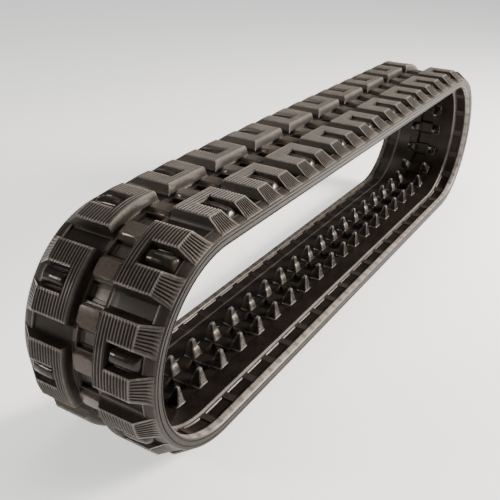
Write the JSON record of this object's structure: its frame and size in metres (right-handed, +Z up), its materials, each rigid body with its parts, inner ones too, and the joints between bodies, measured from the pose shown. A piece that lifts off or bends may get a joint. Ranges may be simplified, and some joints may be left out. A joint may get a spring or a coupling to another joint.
{
  "type": "rubber track",
  "caption": "Endless rubber track loop with staggered C-shaped ribbed lugs outside, and two rows of guide horns over steel cores inside.",
  "frame": {"origin": "middle of the loop's footprint, on the ground plane", "axes": "+X along the track towards the far bend, +Y across the belt to the left, +Z up"},
  "size_m": [1.978, 0.32, 0.516],
  "materials": {
    "tread_rubber": "moulded, semi-gloss, ribbed lug tops",
    "wheel_side_rubber": "moulded, smooth, slightly dusty",
    "carcass_rubber": "calendered, dull",
    "edge_rubber": "moulded, lined along the belt",
    "horn_rubber": "moulded, glossy where the die parted",
    "ply_fabric": "rubber-dipped woven nylon",
    "cord_steel": "brass-plated stranded wire",
    "core_steel": "forged, shot-blasted"
  },
  "bodies": {
    "lower_run": {"lower_run_path_rubber_left": "wheel_side_rubber", "lower_run_path_rubber_right": "wheel_side_rubber", "lower_run_bridge_rubber": "wheel_side_rubber", "lower_run_cord_rubber": "carcass_rubber", "lower_run_fabric_ply": "ply_fabric", "lower_run_tread_base": "tread_rubber", "lower_run_edge_left": "edge_rubber", "lower_run_edge_right": "edge_rubber", "lower_run_cords_left": "cord_steel", "lower_run_cords_right": "cord_steel", "lower_run_cores": "core_steel", "lower_run_horn_covers": "horn_rubber", "lower_run_centre_pads": "tread_rubber", "lower_run_lugs_left": "tread_rubber", "lower_run_lugs_right": "tread_rubber"},
    "near_bend": {"near_bend_path_rubber_left": "wheel_side_rubber", "near_bend_path_rubber_right": "wheel_side_rubber", "near_bend_bridge_rubber": "wheel_side_rubber", "near_bend_cord_rubber": "carcass_rubber", "near_bend_fabric_ply": "ply_fabric", "near_bend_tread_base": "tread_rubber", "near_bend_edge_left": "edge_rubber", "near_bend_edge_right": "edge_rubber", "near_bend_cords_left": "cord_steel", "near_bend_cords_right": "cord_steel", "near_bend_cores": "core_steel", "near_bend_horn_covers": "horn_rubber", "near_bend_centre_pads": "tread_rubber", "near_bend_lugs_left": "tread_rubber", "near_bend_lugs_right": "tread_rubber"},
    "upper_run": {"upper_run_path_rubber_left": "wheel_side_rubber", "upper_run_path_rubber_right": "wheel_side_rubber", "upper_run_bridge_rubber": "wheel_side_rubber", "upper_run_cord_rubber": "carcass_rubber", "upper_run_fabric_ply": "ply_fabric", "upper_run_tread_base": "tread_rubber", "upper_run_edge_left": "edge_rubber", "upper_run_edge_right": "edge_rubber", "upper_run_cords_left": "cord_steel", "upper_run_cords_right": "cord_steel", "upper_run_cores": "core_steel", "upper_run_horn_covers": "horn_rubber", "upper_run_centre_pads": "tread_rubber", "upper_run_lugs_left": "tread_rubber", "upper_run_lugs_right": "tread_rubber"},
    "far_bend": {"far_bend_path_rubber_left": "wheel_side_rubber", "far_bend_path_rubber_right": "wheel_side_rubber", "far_bend_bridge_rubber": "wheel_side_rubber", "far_bend_cord_rubber": "carcass_rubber", "far_bend_fabric_ply": "ply_fabric", "far_bend_tread_base": "tread_rubber", "far_bend_edge_left": "edge_rubber", "far_bend_edge_right": "edge_rubber", "far_bend_cords_left": "cord_steel", "far_bend_cords_right": "cord_steel", "far_bend_cores": "core_steel", "far_bend_horn_covers": "horn_rubber", "far_bend_centre_pads": "tread_rubber", "far_bend_lugs_left": "tread_rubber", "far_bend_lugs_right": "tread_rubber"}
  },
  "joints": [
    {"name": "near_lower_flex", "type": "hinge", "parent": "lower_run", "child": "near_bend", "pos_m": [-0.70262, 0, 0.039], "axis": [0, 1, 0], "range_deg": [-10, 10], "stiffness_Nm_per_rad": 2500, "springref_deg": 1.24},
    {"name": "near_upper_flex", "type": "hinge", "parent": "near_bend", "child": "upper_run", "pos_m": [-0.7593, 0, 0.47518], "axis": [0, 1, 0], "range_deg": [-10, 10]},
    {"name": "far_lower_flex", "type": "hinge", "parent": "lower_run", "child": "far_bend", "pos_m": [0.7593, 0, 0.04084], "axis": [0, 1, 0], "range_deg": [-10, 10]}
  ],
  "couplings": [
    {"joint": "near_upper_flex", "follows": "near_lower_flex", "ratio": -1},
    {"joint": "far_lower_flex", "follows": "near_lower_flex", "ratio": 1}
  ]
}
